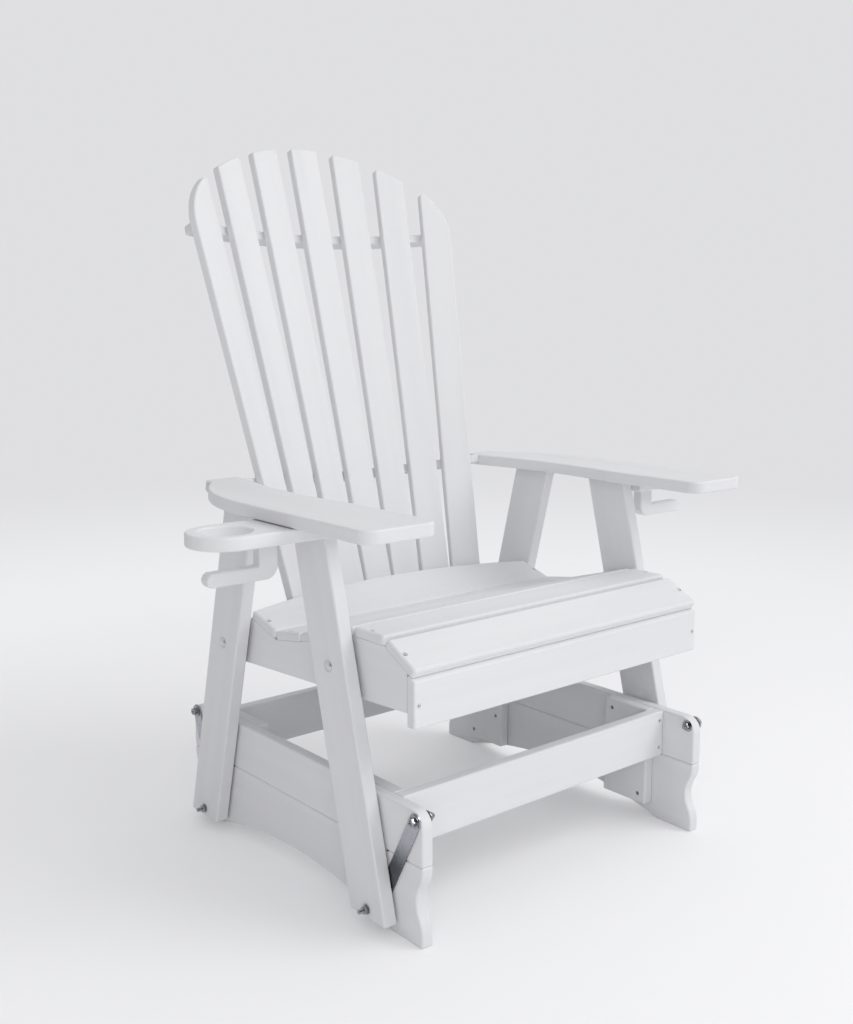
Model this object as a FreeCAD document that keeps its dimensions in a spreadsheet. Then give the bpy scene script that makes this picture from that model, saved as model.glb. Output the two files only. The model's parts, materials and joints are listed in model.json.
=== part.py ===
"""Adirondack glider chair in poly lumber: a seat with a fan back, hung in a low base on four steel links.

Frame: millimetres, +Z up, the chair faces -Y, and the origin is on the floor under the middle of the base.
"""
import FreeCAD, Part
import math
import os
import Sketcher
from FreeCAD import Placement, Rotation, Vector

os.makedirs("parts", exist_ok=True)
doc = FreeCAD.newDocument("AdirondackGlider")

# Driving dimensions, in millimetres and degrees
SIZES = (
    # Stock
    ("board", 22.0),                # thickness of the frame boards
    ("leg_board", 25.4),            # the legs are thicker
    ("seat_board", 16.0),           # thickness of the seat slats
    ("apron_board", 18.5),          # thickness of the apron
    ("back_board", 18.0),           # thickness of the back slats and rails
    ("frame_width", 88.9),          # width of legs, rails and upper panel boards
    ("slat_width", 75.4),           # width of the seat slats
    ("edge_round", 3.5),            # rounded edges of the frame and the back
    ("seat_round", 5.0),            # rounded upper edges of the seat slats
    ("seat_under_round", 2.0),      # their lower edges
    # Widths across the chair
    ("seat_length", 677.0),         # length of the seat slats
    ("slat_overhang", 0.5),         # slat end past the stringer
    ("leg_gap", 6.8),               # stringer to leg
    ("link_gap", 0.3),              # air on each side of a link bar
    # Base
    ("base_length", 697.0),
    ("lower_board", 133.0),         # height of the panel's lower board
    ("panel_corner", 28.0),         # rounded upper corners of the panels
    ("foot_length", 78.0),
    ("arch_height", 40.0),
    ("scoop_depth", 15.0),          # hollow in the panel's front and rear ends
    ("scoop_low", 18.0),
    ("scoop_high", 127.0),
    ("rail_setback", 72.0),         # panel end to the rail's outer face
    ("cleat_width", 106.0),
    ("cleat_bottom", 30.0),
    # Links
    ("upper_pivot_inset", 15.0),    # pivot to the panel's end and top
    ("front_pivot_y", -245.0),      # lower pivots, in the legs
    ("rear_pivot_y", 266.7),
    ("lower_pivot_z", 36.5),
    ("link_width", 25.4),
    ("link_thickness", 3.2),
    ("stud_length", 42.7),          # from the bar's inner face to the tip
    ("open_pivot_play", 2.0),       # room round the rear stud, under its washer
    ("open_pivot_shift", 1.55),     # its hole lies back, where the stud goes as the seat swings
    # Legs and arms
    ("leg_bottom", 20.4),
    ("front_toe_y", -292.4),        # front lower corner of the front legs
    ("rear_heel_y", 316.5),         # rear lower corner of the rear legs
    ("leg_lean", 14.0),
    ("arm_height", 670.0),          # top of the arms
    ("arm_width", 137.0),
    ("arm_inboard", 40.8),          # arm's inner edge inside the leg
    ("arm_front_y", -347.0),
    ("arm_corner", 24.0),
    ("arm_taper_y", 0.0),           # where the outer edge starts to curve in
    ("arm_tail_outer", 84.0),       # how far the outer edge comes in
    ("arm_tail_flat", 27.0),        # straight end of the outer edge, under the bolt's head
    ("arm_tail_corner", 10.0),
    ("arm_tail_inner", 16.0),       # how far the inner edge comes in
    ("arm_waist", 9.0),             # hollow of the inner edge
    ("arm_waist_front_y", -130.0),
    ("arm_waist_rear", 41.0),       # end of the hollow to the arm's rear
    # Cup holders
    ("cup_bore", 84.0),
    ("cup_rim", 19.0),              # wall round the bore
    ("cup_drop", 1.5),              # arm to the cup board
    ("cup_reach", 82.0),            # bore centre past the arm
    ("cup_y", -99.0),
    ("tongue_drop", 39.5),          # board underside to the tongue
    ("tongue_height", 23.0),
    ("tongue_tip", 38.5),           # tongue end past the bore centre
    ("bracket_stem", 34.0),
    ("bracket_root", 88.0),         # bore centre to the bracket's inner side
    ("bracket_corner", 22.0),
    # Seat
    ("seat_crest", 480.4),          # top of the second slat
    ("crest_front_y", -252.5),
    ("slat_gap", 3.2),
    ("front_slat_drop", 28.0),      # slopes of the slats
    ("dip_slope", 16.1),
    ("level_slope", 9.2),
    ("rear_slat_rise", 17.0),
    ("rear_slat_extra", 3.6),       # the last slat is wider, and its rear edge is curved
    ("rear_slat_bulge", 37.0),
    ("rear_slat_room", 2.8),        # its front edge stands off, as it leans towards its neighbour
    ("apron_front_y", -327.0),
    ("apron_bottom", 349.0),
    ("apron_gap", 1.0),             # apron top to the front slat
    ("apron_overhang", 1.0),        # apron end past the stringer
    ("apron_screw_rise", 37.0),
    ("stringer_front_z", 371.4),
    ("stringer_rear_z", 342.3),
    ("stringer_rear_y", 232.0),
    ("stringer_rear_top", 404.0),
    # Back
    ("back_y", 194.5),              # face of the middle slat at the seat
    ("back_z", 443.0),
    ("recline", 15.9),
    ("back_inset", 98.75),          # outer slats to the ends of the seat slats, at the seat
    ("back_gap", 5.0),              # between the slats, at the seat
    ("fan_angle", 2.0),             # between neighbouring slats
    ("bow_angle", 6.0),             # turn between neighbouring slats
    ("slat_foot", -100.0),          # lower end of the slats along the back
    ("crown_height", 890.0),        # top of the middle slat along the back
    ("crown_radius", 436.0),
    ("crown_corner_inset", 17.0),   # outer corners of the outer slats, short of two slat widths
    ("slat_corner", 6.0),
    ("rail_gap", 1.0),              # slat to the curved rails
    ("rail_depth", 35.0),
    ("rail_corner", 6.0),
    ("lower_rail_height", -82.0),   # along the back, under the rear leg bolts
    ("middle_rail_drop", 4.8),      # arm bolts to the middle rail, along the back
    ("upper_rail_height", 707.0),
    ("upper_rail_inset", 7.3),      # rail end to the outer slats' outer edges
    ("lower_rail_depth", 45.0),
    # Fasteners
    ("bolt_diameter", 7.9),
    ("bolt_fit", 0.05),             # radial room round bolts and screws
    ("bolt_head", 19.8),            # domed heads
    ("bolt_dome", 4.4),
    ("nut_flats", 12.7),
    ("nut_height", 6.8),
    ("washer_diameter", 22.2),
    ("stud_washer", 17.5),          # smaller washers on the studs
    ("washer_thickness", 1.6),
    ("washer_air", 0.3),            # washer to the part that turns
    ("thread_end", 5.0),            # bolt past its nut
    ("screw_diameter", 4.2),
    ("screw_head", 8.0),
    ("screw_head_height", 2.6),
    ("screw_recess", 0.8),
    ("screw_bite", 16.0),           # into the second board
    ("end_screw_bite", 34.0),       # into a board's end
    ("rail_screw_bite", 12.0),      # into a cleat's end, short of the cleat's own screws
    ("seat_screw_bite", 26.0),      # into a stringer's edge
    ("back_screw_bite", 11.0),      # into a back slat
    ("lower_screw_bite", 28.0),     # into the lower back rail
    ("screw_inset", 18.0),          # screw to a board's edge
    ("front_bolt_z", 415.0),
    ("rear_bolt_z", 382.0),
    ("arm_bolt_inset", 16.7),       # to the arm's rear end
    ("arm_bolt_rise", 9.0),         # above the arm's underside
    ("arm_bolt_head", 15.0),
    ("arm_bolt_grip", 38.0),        # into the middle rail
    ("arm_bolt_wall", 3.0),         # bolt to the rail's front edge
    ("stringer_screw_inset", 8.0),  # seat and apron screws to the stringer's outer face
    ("back_screw_step", 4.5),       # screw to the middle of its slat, for each slat from the middle one
)

BACK_SLATS = 7
AXES = {"x": Vector(1, 0, 0), "y": Vector(0, 1, 0), "z": Vector(0, 0, 1)}
NODES = {}


class Size:
    """A number with the sheet expression that gives it."""

    def __init__(self, value, text=None):
        self.value = float(value)
        self.text = text or "%.9g" % value

    def joined(self, other, sign, value, swap=False):
        left, right = (other, self) if swap else (self, other)
        return Size(value, "(%s %s %s)" % (left.text, sign, right.text))

    def __add__(self, other):
        other = as_size(other)
        return self.joined(other, "+", self.value + other.value)

    def __sub__(self, other):
        other = as_size(other)
        return self.joined(other, "-", self.value - other.value)

    def __rsub__(self, other):
        other = as_size(other)
        return self.joined(other, "-", other.value - self.value, swap=True)

    def __mul__(self, other):
        other = as_size(other)
        return self.joined(other, "*", self.value * other.value)

    def __truediv__(self, other):
        other = as_size(other)
        return self.joined(other, "/", self.value / other.value)

    def __neg__(self):
        return Size(-self.value, "(0 - %s)" % self.text)

    def __float__(self):
        return self.value

    __radd__ = __add__
    __rmul__ = __mul__


def as_size(number):
    return number if isinstance(number, Size) else Size(number)


def sin(angle):
    return Size(math.sin(math.radians(angle.value)), "sin(%s)" % angle.text)


def cos(angle):
    return Size(math.cos(math.radians(angle.value)), "cos(%s)" % angle.text)


def tan(angle):
    return Size(math.tan(math.radians(angle.value)), "tan(%s)" % angle.text)


def root(number):
    return Size(math.sqrt(number.value), "sqrt(%s)" % number.text)


ZERO = Size(0)


def make_sheet():
    """Write the driving dimensions into the sheet and give them back by name."""
    sheet = doc.addObject("Spreadsheet::Sheet", "Sizes")
    named = {}
    for row, (alias, number) in enumerate(SIZES, start=1):
        sheet.set("A%d" % row, alias)
        sheet.set("B%d" % row, str(number))
        sheet.setAlias("B%d" % row, alias)
    doc.recompute()
    for alias, _ in SIZES:
        named[alias] = Size(sheet.get(alias), "Sizes.%s" % alias)
    return named


S = make_sheet()


def bind(thing, name, number):
    thing.setExpression(name, as_size(number).text)


def keep(label, thing):
    """Name a finished sub-part, which is written to its own file."""
    thing.Label = label
    NODES[label] = thing
    return thing


# Sketches and boards

def origin_plane(body, role):
    return next(f for f in body.Origin.OriginFeatures if f.Role == role)


def fix_point(sketch, geometry, position, x, y):
    """Place a sketch point by two dimensions from the origin, both bound to the sheet."""
    for kind, number in (("DistanceX", x), ("DistanceY", y)):
        number = as_size(number)
        index = sketch.addConstraint(Sketcher.Constraint(kind, -1, 1, geometry, position, number.value))
        bind(sketch, "Constraints[%d]" % index, number)


def outline_sketch(body, plane, points):
    """A closed outline: (x, y) is a corner, and (x, y, via_x, via_y) ends an arc through the via point."""
    sketch = body.newObject("Sketcher::SketchObject", "Outline")
    sketch.AttachmentSupport = [(origin_plane(body, plane), "")]
    sketch.MapMode = "FlatFace"
    spots = [Vector(float(p[0]), float(p[1]), 0) for p in points]
    ends = []
    for index, point in enumerate(points):
        start, finish = spots[index - 1], spots[index]
        if len(point) == 2:
            edge = sketch.addGeometry(Part.LineSegment(start, finish))
            ends.append((edge, 1, 2))
            continue
        via = Vector(float(point[2]), float(point[3]), 0)
        edge = sketch.addGeometry(Part.Arc(start, via, finish))
        forward = (sketch.getPoint(edge, 1) - start).Length < (sketch.getPoint(edge, 2) - start).Length
        ends.append((edge, 1, 2) if forward else (edge, 2, 1))
        mark = sketch.addGeometry(Part.Point(via), True)
        fix_point(sketch, mark, 1, point[2], point[3])
        sketch.addConstraint(Sketcher.Constraint("PointOnObject", mark, 1, edge))
    for index, (edge, first, last) in enumerate(ends):
        before = ends[index - 1]
        sketch.addConstraint(Sketcher.Constraint("Coincident", before[0], before[2], edge, first))
        fix_point(sketch, edge, last, points[index][0], points[index][1])
    return sketch


def circle_sketch(body, plane, x, y, radius):
    sketch = body.newObject("Sketcher::SketchObject", "Circle")
    sketch.AttachmentSupport = [(origin_plane(body, plane), "")]
    sketch.MapMode = "FlatFace"
    spot = Vector(float(x), float(y), 0)
    edge = sketch.addGeometry(Part.Circle(spot, Vector(0, 0, 1), float(radius)))
    fix_point(sketch, edge, 3, x, y)
    index = sketch.addConstraint(Sketcher.Constraint("Radius", edge, float(radius)))
    bind(sketch, "Constraints[%d]" % index, radius)
    return sketch


def pad(body, sketch, length):
    feature = body.newObject("PartDesign::Pad", "Pad")
    feature.Profile = sketch
    bind(feature, "Length", length)
    doc.recompute()
    return feature


def pocket(body, sketch):
    """Cut through the whole body, both ways."""
    feature = body.newObject("PartDesign::Pocket", "Pocket")
    feature.Profile = sketch
    feature.Type = "ThroughAll"
    feature.Midplane = True
    doc.recompute()
    return feature


def edge_names(shape, wanted):
    edges = enumerate(shape.Edges, start=1)
    return ["Edge%d" % number for number, edge in edges if not edge.Degenerated and wanted(edge)]


def along(axis):
    """A test for straight edges that run along a body's own axis."""
    def wanted(edge):
        if not isinstance(edge.Curve, Part.Line):
            return False
        return edge.Curve.Direction.cross(AXES[axis]).Length < 1e-6
    return wanted


def fillet(body, base, names, radius):
    feature = body.newObject("PartDesign::Fillet", "Fillet")
    feature.Base = (base, names)
    bind(feature, "Radius", radius)
    doc.recompute()
    return feature


def board(label, plane, points, thickness, place):
    """A board cut to an outline, with rounded edges, as a body of its own."""
    body = doc.addObject("PartDesign::Body", label + "_body")
    base = pad(body, outline_sketch(body, plane, points), thickness)
    fillet(body, base, edge_names(base.Shape, lambda edge: True), S["edge_round"])
    body.Placement = place
    return body


def shift(x=0, y=0, z=0):
    return Placement(Vector(float(x), float(y), float(z)), Rotation())


def rectangle(x0, y0, x1, y1):
    return [(x0, y0), (x1, y0), (x1, y1), (x0, y1)]


def mirrored(points, side):
    """An outline as it is, or turned over about its second axis where the side is -1."""
    return [tuple(side * n if place % 2 == 0 else n for place, n in enumerate(p)) for p in points]


# Fasteners: each group is one node of separate solids

def turned_to(direction):
    """A rotation that takes +Z to a direction."""
    return Rotation(Vector(0, 0, 1), direction)


def placed(shape, spot, direction):
    copy = shape.copy()
    copy.Placement = Placement(spot, turned_to(direction))
    return copy


def hidden_group(name, shapes):
    feature = doc.addObject("Part::Feature", name)
    feature.Shape = Part.makeCompound(shapes)
    return feature


def group(label, shapes):
    return keep(label, hidden_group(label + "_group", shapes))


def cylinder(diameter, length, start=0.0):
    return Part.makeCylinder(float(diameter) / 2, float(length), Vector(0, 0, float(start)))


def hexagon(flats, height, start=0.0):
    reach = float(flats) / math.sqrt(3)
    first = Vector(reach, 0, float(start))
    corners = [Rotation(AXES["z"], 60 * n).multVec(first) for n in range(7)]
    return Part.Face(Part.makePolygon(corners)).extrude(Vector(0, 0, float(height)))


def washer_shape(diameter, thickness):
    return cylinder(diameter, thickness).cut(cylinder(bolt_hole, thickness))


def nut_shape():
    return hexagon(S["nut_flats"], S["nut_height"]).cut(cylinder(bolt_hole, S["nut_height"]))


def screw_shape(length, room=0.0):
    """A countersunk screw that goes in along +Z from the board's face, or its hole when it has room."""
    recess, head = float(S["screw_recess"]), float(S["screw_head_height"])
    wide, narrow = float(S["screw_head"]) / 2 + room, float(S["screw_diameter"]) / 2 + room
    shape = Part.makeCone(wide, narrow, head, Vector(0, 0, recess))
    shape = shape.fuse(Part.makeCylinder(narrow, float(length) - recess + room, Vector(0, 0, recess)))
    if room:
        open_end = float(S["board"])
        shape = shape.fuse(Part.makeCylinder(wide, open_end + recess, Vector(0, 0, -open_end)))
    return shape.removeSplitter()


def screws(label, spots, length):
    """A group of screws and the holes that they need; a spot is a point and the way the screw goes in."""
    screw, hole = screw_shape(length), screw_shape(length, float(S["bolt_fit"]))
    group(label, [placed(screw, spot, way) for spot, way in spots])
    return hidden_group(label + "_holes", [placed(hole, spot, way) for spot, way in spots])


def dome(diameter, height):
    """A carriage bolt's head, its flat side at the origin and its crown along -Z."""
    half, rise = float(diameter) / 2, float(height)
    ball = (half * half + rise * rise) / (2 * rise)
    block = Part.makeCylinder(half, rise, Vector(0, 0, -rise))
    return Part.makeSphere(ball, Vector(0, 0, ball - rise)).common(block)


def drilled(label, thing, *holes):
    """Cut holes in a board; the result is the finished sub-part."""
    for number, tool in enumerate(holes):
        cut = doc.addObject("Part::Cut", "%s_cut%d" % (label, number))
        cut.Base = thing
        cut.Tool = tool
        thing = cut
    return keep(label, thing)


SIDES = (("left", -1), ("right", 1))
ENDS = (("front", -1), ("rear", 1))

# Places across the chair, from the seat outward
stringer_out = S["seat_length"] / 2 - S["slat_overhang"]
stringer_in = stringer_out - S["board"]
leg_in = stringer_out + S["leg_gap"]
leg_out = leg_in + S["leg_board"]
panel_out = leg_in - 2 * S["link_gap"] - S["link_thickness"]
panel_in = panel_out - S["board"]
arm_in = leg_in - S["arm_inboard"]
arm_out = arm_in + S["arm_width"]
cup_x = arm_out + S["cup_reach"]

# Places up and along the chair
panel_top = S["lower_board"] + S["frame_width"]
base_end = S["base_length"] / 2
rail_face = base_end - S["rail_setback"]
cleat_far = rail_face - S["board"]
cleat_near = cleat_far - S["cleat_width"]
pivot_y = base_end - S["upper_pivot_inset"]
pivot_z = panel_top - S["upper_pivot_inset"]
arm_under = S["arm_height"] - S["board"]
bolt_hole = S["bolt_diameter"] + 2 * S["bolt_fit"]

# The back follows the seat's length, and its middle rail the arms
back_pitch = (S["seat_length"] - 2 * S["back_inset"]) / BACK_SLATS
back_slat_width = back_pitch - S["back_gap"]
arm_bolt_rise = arm_under + S["arm_bolt_rise"] - S["back_z"]
middle_rail_height = arm_bolt_rise / cos(S["recline"]) - S["middle_rail_drop"]


def across(side, inner, outer):
    """Start of a board that lies between two distances from the middle, on one side."""
    return float(inner) if side > 0 else -float(outer)


# Base

def scoop(end):
    """The hollow end of a lower panel board, as three tangent arcs: upward at the rear, downward in front."""
    low, high, depth = S["scoop_low"], S["scoop_high"], S["scoop_depth"]
    middle, quarter, turn = (low + high) / 2, (high - low) / 4, base_end - S["scoop_depth"] / 2
    radius = (quarter * quarter * 4 + depth * depth) / (depth * 4)
    small = radius - root(radius * radius - quarter * quarter / 4)
    nodes = [(base_end, low), (turn, middle - quarter), (turn, middle + quarter), (base_end, high)]
    vias = [(base_end - small, low + quarter / 2), (base_end - depth, middle),
            (base_end - small, high - quarter / 2)]
    if end < 0:
        nodes.reverse()
        vias.reverse()
    return mirrored([node + via for node, via in zip(nodes[1:], vias)], end)


def base_panels():
    seam, arch = S["lower_board"], base_end - S["foot_length"]
    lower = [(arch, ZERO, ZERO, S["arch_height"]), (base_end, ZERO), (base_end, S["scoop_low"])]
    lower += scoop(1) + [(base_end, seam), (-base_end, seam), (-base_end, S["scoop_high"])]
    lower += scoop(-1) + [(-base_end, ZERO), (-arch, ZERO)]
    radius = S["panel_corner"]
    part = radius * (1 - math.sqrt(0.5))
    upper = [(-base_end, seam), (base_end, seam), (base_end, panel_top - radius),
             (base_end - radius, panel_top, base_end - part, panel_top - part),
             (radius - base_end, panel_top),
             (-base_end, panel_top - radius, part - base_end, panel_top - part)]
    for name, side in SIDES:
        start = shift(x=across(side, panel_in, panel_out))
        lower_body = board("lower_" + name, "YZ_Plane", lower, S["board"], start)
        upper_body = board("upper_" + name, "YZ_Plane", upper, S["board"], start)
        drilled("base_%s_lower_board" % name, lower_body, cleat_holes)
        drilled("base_%s_upper_board" % name, upper_body, cleat_holes, upper_bolt_holes)


def base_rails():
    outline = rectangle(-panel_in, S["lower_board"], panel_in, panel_top)
    for name, end in ENDS:
        start = shift(y=rail_face if end > 0 else S["board"] - rail_face)
        body = board("rail_" + name, "XZ_Plane", outline, S["board"], start)
        drilled("base_%s_rail" % name, body, rail_holes)


def base_cleats():
    inner = panel_in - S["board"]
    for end_name, end in ENDS:
        for name, side in SIDES:
            first, last = (cleat_near, cleat_far) if end > 0 else (-cleat_far, -cleat_near)
            outline = rectangle(first, S["cleat_bottom"], last, panel_top)
            start = shift(x=across(side, inner, panel_in))
            drilled("base_%s_%s_cleat" % (end_name, name),
                    board("cleat_%s_%s" % (end_name, name), "YZ_Plane", outline, S["board"], start),
                    cleat_holes, rail_holes)


def rail_screw_spots():
    x = float(panel_in - S["board"] / 2)
    heights = (float(S["lower_board"] + S["screw_inset"]), float(panel_top - S["screw_inset"]))
    return [(Vector(side * x, end * float(rail_face), z), Vector(0, -end, 0))
            for _, end in ENDS for _, side in SIDES for z in heights]


def cleat_screw_spots():
    """Four screws in each cleat: a slanted pair into each panel board."""
    inset, x = S["screw_inset"], float(panel_in - S["board"])
    near, far = float(cleat_near + inset), float(cleat_far - inset)
    seam = S["lower_board"]
    pairs = ((near, float(panel_top - inset)), (far, float(seam + inset)),
             (near, float(seam - 2 * inset)), (far, float(S["cleat_bottom"] + inset)))
    return [(Vector(side * x, end * y, z), Vector(side, 0, 0))
            for _, end in ENDS for _, side in SIDES for y, z in pairs]


# Links

def upper_bolts():
    """Hex bolts through the links into the panels, with a washer and nut inside."""
    washer, air, head = S["washer_thickness"], S["washer_air"], S["nut_height"]
    grip = float(panel_out - panel_in + S["link_gap"] + S["link_thickness"] + air + washer * 2)
    bolt = hexagon(S["nut_flats"], head, -float(head))
    bolt = bolt.fuse(cylinder(S["bolt_diameter"], grip + float(S["nut_height"] + S["thread_end"])))
    ring, nut = washer_shape(S["washer_diameter"], washer), nut_shape()
    head_x = float(panel_in) - float(washer) + grip
    inner_x = float(panel_in) - float(washer)
    bolts, washers, nuts, holes = [], [], [], []
    for _, side in SIDES:
        inward = Vector(-side, 0, 0)
        for _, end in ENDS:
            def spot(x):
                return Vector(side * x, end * float(pivot_y), float(pivot_z))
            bolts.append(placed(bolt, spot(head_x), inward))
            washers.append(placed(ring, spot(head_x), inward))
            washers.append(placed(ring, spot(float(panel_in)), inward))
            nuts.append(placed(nut, spot(inner_x), inward))
            holes.append(placed(cylinder(bolt_hole, grip), spot(head_x), inward))
    group("upper_pivot_bolts", bolts)
    group("upper_pivot_washers", washers)
    group("upper_pivot_nuts", nuts)
    return hidden_group("upper_bolt_holes", holes)


def link_bar(label, side, end, lower_y):
    """A flat bar with round ends, bored at the top and with a threaded stud at the bottom."""
    rise, run = pivot_z - S["lower_pivot_z"], lower_y - end * pivot_y
    length, half = root(rise * rise + run * run), S["link_width"] / 2
    bar = [(half, -length, ZERO, -length - half), (half, ZERO), (-half, ZERO, ZERO, half), (-half, -length)]
    body = doc.addObject("PartDesign::Body", label + "_body")
    pad(body, outline_sketch(body, "YZ_Plane", bar), S["link_thickness"])
    pocket(body, circle_sketch(body, "YZ_Plane", ZERO, ZERO, bolt_hole / 2))
    stud = pad(body, circle_sketch(body, "YZ_Plane", ZERO, -length, S["bolt_diameter"] / 2), S["stud_length"])
    if side < 0:
        bind(stud, "Length", S["stud_length"] - S["link_thickness"])
        stud.Reversed = True
    inner = panel_out + S["link_gap"]
    start = across(side, inner, inner + S["link_thickness"])
    lean = math.degrees(math.atan2(float(run), float(rise)))
    body.Placement = Placement(Vector(start, end * float(pivot_y), float(pivot_z)), Rotation(AXES["x"], lean))
    return keep(label, body)


def links():
    """Both pairs of links with the washers and nuts on their studs."""
    air, washer = S["washer_air"], S["washer_thickness"]
    ring, nut = washer_shape(S["stud_washer"], washer), nut_shape()
    for end_name, end in ENDS:
        y = S["front_pivot_y"] if end < 0 else S["rear_pivot_y"]
        for name, side in SIDES:
            link_bar("%s_%s_link" % (end_name, name), side, end, y)
        washers, nuts = [], []
        for _, side in SIDES:
            outward = Vector(side, 0, 0)
            face = Vector(side * float(leg_out + air), float(y), float(S["lower_pivot_z"]))
            washers.append(placed(ring, face, outward))
            nuts.append(placed(nut, face + outward * float(washer), outward))
        group("%s_link_washers" % end_name, washers)
        group("%s_link_nuts" % end_name, nuts)


# Legs, stringers and apron

def lower_stud_holes():
    """Bores for the studs: a running fit in front, and room at the rear, where the linkage is open."""
    holes = []
    for _, side in SIDES:
        for y, room in ((S["front_pivot_y"], S["bolt_fit"]),
                        (S["rear_pivot_y"] + S["open_pivot_shift"], S["open_pivot_play"])):
            spot = Vector(side * float(leg_in), float(y), float(S["lower_pivot_z"]))
            bore = cylinder(S["bolt_diameter"] + 2 * room, S["leg_board"])
            holes.append(placed(bore, spot, Vector(side, 0, 0)))
    return hidden_group("stud_holes", holes)


def leg_edge(end, height):
    """Outer edge of a leg at a height: the front edge of a front leg, the rear edge of a rear leg."""
    corner = S["front_toe_y"] if end < 0 else S["rear_heel_y"]
    return corner - end * tan(S["leg_lean"]) * (height - S["leg_bottom"])


def leg_middle(end, height):
    return leg_edge(end, height) - end * S["frame_width"] / cos(S["leg_lean"]) / 2


def legs():
    span = S["frame_width"] / cos(S["leg_lean"])
    for end_name, end in ENDS:
        low, high = leg_edge(end, S["leg_bottom"]), leg_edge(end, arm_under)
        outline = [(low, S["leg_bottom"]), (low - end * span, S["leg_bottom"]),
                   (high - end * span, arm_under), (high, arm_under)]
        for name, side in SIDES:
            start = shift(x=across(side, leg_in, leg_out))
            label = "%s_%s_leg" % (end_name, name)
            body = board(label, "YZ_Plane", outline, S["leg_board"], start)
            drilled(label, body, stud_holes, leg_bolt_holes)


def leg_bolts():
    """Carriage bolts through leg, spacer and stringer, with a nut inside."""
    grip = float(leg_out - stringer_in)
    shank = grip + float(S["nut_height"] + S["thread_end"])
    bolt = cylinder(S["bolt_diameter"], shank).fuse(dome(S["bolt_head"], S["bolt_dome"]))
    spacer, nut = washer_shape(S["washer_diameter"], S["leg_gap"]), nut_shape()
    bolts, spacers, nuts, holes = [], [], [], []
    for _, side in SIDES:
        inward = Vector(-side, 0, 0)
        for end, z in ((-1, S["front_bolt_z"]), (1, S["rear_bolt_z"])):
            y = float(leg_middle(end, z))
            spot = Vector(side * float(leg_out), y, float(z))
            bolts.append(placed(bolt, spot, inward))
            spacers.append(placed(spacer, Vector(side * float(leg_in), y, float(z)), inward))
            nuts.append(placed(nut, Vector(side * float(stringer_in), y, float(z)), inward))
            holes.append(placed(cylinder(bolt_hole, grip), spot, inward))
    group("leg_bolts", bolts)
    group("leg_spacers", spacers)
    group("leg_nuts", nuts)
    return hidden_group("leg_bolt_holes", holes)


def seat_line():
    """Corners of the line that the slats lie on, from the front to the rear, with each slat's slope."""
    step = S["slat_width"] + S["slat_gap"]
    crest = S["seat_crest"] - S["seat_board"]
    drop, dip, level, rise = S["front_slat_drop"], S["dip_slope"], S["level_slope"], S["rear_slat_rise"]
    slopes = (drop, ZERO, -dip, -dip, -level, rise)
    corner = (S["crest_front_y"] - step * cos(drop), crest - step * sin(drop))
    corners = [corner]
    for slope in slopes:
        run = step + S["rear_slat_extra"] if slope is rise else step
        corner = (corner[0] + run * cos(slope), corner[1] + run * sin(slope))
        corners.append(corner)
    return corners, slopes


def stringers():
    corners, slopes = seat_line()
    front = S["apron_front_y"] + S["apron_board"]
    nose = corners[1][1] - (corners[1][0] - front) * tan(slopes[0])
    outline = [(front, S["stringer_front_z"]), (S["stringer_rear_y"], S["stringer_rear_z"]),
               (S["stringer_rear_y"], S["stringer_rear_top"])]
    outline += list(reversed(corners[1:])) + [(front, nose)]
    for name, side in SIDES:
        body = doc.addObject("PartDesign::Body", "stringer_%s_body" % name)
        pad(body, outline_sketch(body, "YZ_Plane", outline), S["board"])
        body.Placement = shift(x=across(side, stringer_in, stringer_out))
        drilled("%s_stringer" % name, body, leg_bolt_holes, slat_holes, apron_holes)


def apron():
    corners, slopes = seat_line()
    face, back = S["apron_front_y"], S["apron_front_y"] + S["apron_board"]

    def under_slat(y):
        return corners[1][1] - (corners[1][0] - y) * tan(slopes[0]) - S["apron_gap"]
    outline = [(face, S["apron_bottom"]), (back, S["apron_bottom"]),
               (back, under_slat(back)), (face, under_slat(face))]
    half = stringer_out + S["apron_overhang"]
    body = board("apron", "YZ_Plane", outline, 2 * half, shift(x=-half))
    drilled("front_apron", body, apron_holes)


def apron_screw_spots():
    z = float(S["apron_bottom"] + S["apron_screw_rise"])
    x = float(stringer_out - S["stringer_screw_inset"])
    return [(Vector(side * x, float(S["apron_front_y"]), z), Vector(0, 1, 0)) for _, side in SIDES]


# Seat slats

SLAT_NAMES = ("front", "crest", "third", "fourth", "fifth", "rear")


def slat_place(index):
    """Placement of a slat: its own Y runs back along the seat line, and its own Z is up."""
    corners, slopes = seat_line()
    y, z = corners[index]
    return Placement(Vector(0, float(y), float(z)), Rotation(AXES["x"], float(slopes[index])))


def underneath(edge):
    """A test for the edges of a slat's lower face, before it is put in place."""
    return edge.BoundBox.ZMax < float(S["seat_under_round"]) / 2


def seat_slats():
    half, near = S["seat_length"] / 2, S["slat_gap"] / 2
    far = near + S["slat_width"]
    for index, name in enumerate(SLAT_NAMES):
        outline = rectangle(-half, near, half, far)
        if name == "rear":
            start, edge = near + S["rear_slat_room"], far + S["rear_slat_extra"]
            outline = rectangle(-half, start, half, edge)
            outline[3] += (ZERO, edge + S["rear_slat_bulge"])
        label = "seat_slat_%d_%s" % (index + 1, name)
        body = doc.addObject("PartDesign::Body", label + "_body")
        base = pad(body, outline_sketch(body, "XY_Plane", outline), S["seat_board"])
        upper_edges = edge_names(base.Shape, lambda edge: not underneath(edge))
        rounded = fillet(body, base, upper_edges, S["seat_round"])
        fillet(body, rounded, edge_names(rounded.Shape, underneath), S["seat_under_round"])
        body.Placement = slat_place(index)
        drilled(label, body, slat_holes)


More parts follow.
